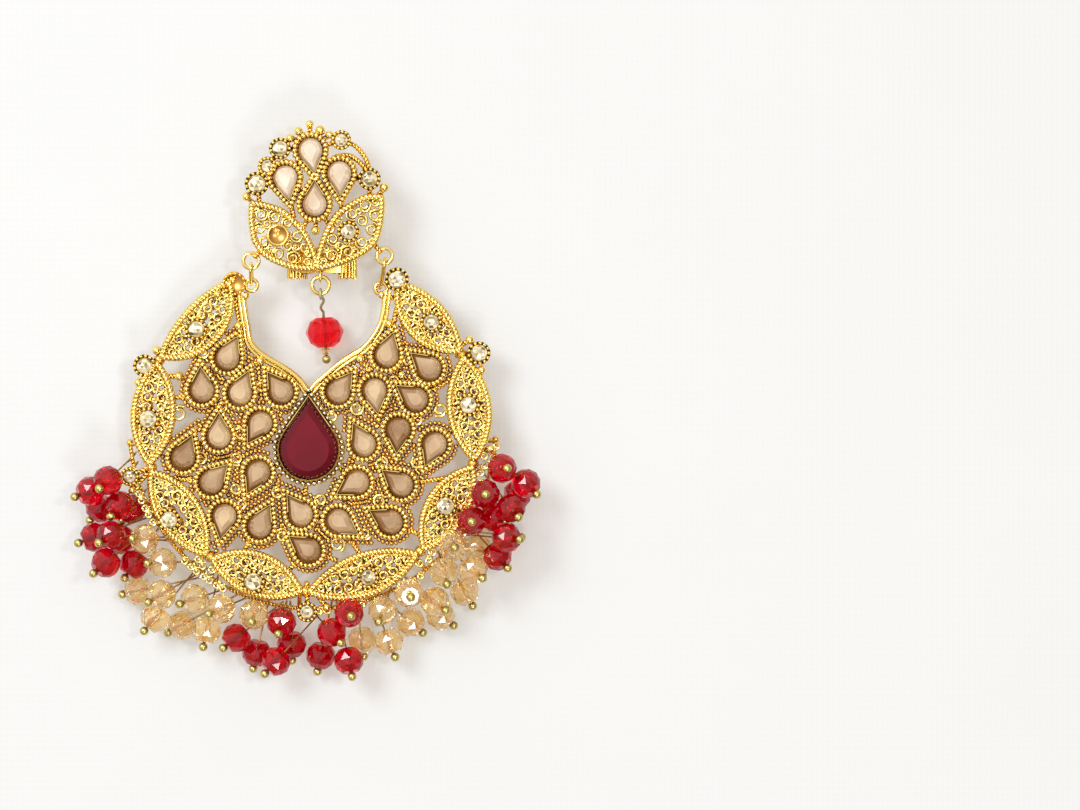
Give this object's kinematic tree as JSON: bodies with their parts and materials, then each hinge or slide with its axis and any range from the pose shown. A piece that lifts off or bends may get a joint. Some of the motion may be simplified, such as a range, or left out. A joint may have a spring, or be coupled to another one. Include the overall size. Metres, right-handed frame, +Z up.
{
  "type": "filigree crescent earring",
  "caption": "Pierced metal earring with an ear post, a linked crescent set with pear stones, and bunches of faceted beads on head pins along its rim.",
  "frame": {"origin": "middle of the earring's outline, on the surface that it lies on", "axes": "+Z up, from the surface to the earring's front; +Y from the bead bunches to the stud; +X to the right of the front"},
  "size_m": [0.0671, 0.0799, 0.0116],
  "materials": {
    "gold": "polished",
    "red_glass": "polished",
    "champagne_glass": "polished",
    "maroon_stone": "polished",
    "champagne_stone": "polished",
    "pearly_stone": "polished",
    "white_stone": "polished"
  },
  "bodies": {
    "root": {"stud_plate": "gold", "ear_post": "gold", "scroll_nut": "gold", "link_left": "gold", "link_right": "gold", "drop_ring": "gold", "drop_pin": "gold", "crescent_plate": "gold", "pins_left_red": "gold", "pins_left_champagne": "gold", "pins_bottom_red": "gold", "pins_right_champagne": "gold", "pins_right_red": "gold", "drop_bead": "red_glass", "drop_spacer": "champagne_glass", "main_stone": "maroon_stone", "crescent_rounds": "white_stone", "stud_rounds": "white_stone", "beads_left_red": "red_glass", "beads_left_champagne": "champagne_glass", "beads_bottom_red": "red_glass", "beads_right_champagne": "champagne_glass", "beads_right_red": "red_glass", "pear_1": "champagne_stone", "pear_2": "champagne_stone", "pear_3": "champagne_stone", "pear_4": "champagne_stone", "pear_5": "champagne_stone", "pear_6": "champagne_stone", "pear_7": "champagne_stone", "pear_8": "champagne_stone", "pear_9": "champagne_stone", "pear_10": "champagne_stone", "pear_11": "champagne_stone", "pear_12": "champagne_stone", "pear_13": "champagne_stone", "pear_14": "champagne_stone", "pear_15": "champagne_stone", "pear_16": "champagne_stone", "pear_17": "champagne_stone", "pear_18": "champagne_stone", "pear_19": "champagne_stone", "pear_20": "champagne_stone", "pear_21": "champagne_stone", "pear_22": "champagne_stone", "pear_23": "champagne_stone", "pear_24": "champagne_stone", "pear_25": "champagne_stone", "stud_pear_1": "pearly_stone", "stud_pear_2": "pearly_stone", "stud_pear_3": "pearly_stone", "stud_pear_4": "pearly_stone"}
  },
  "joints": []
}
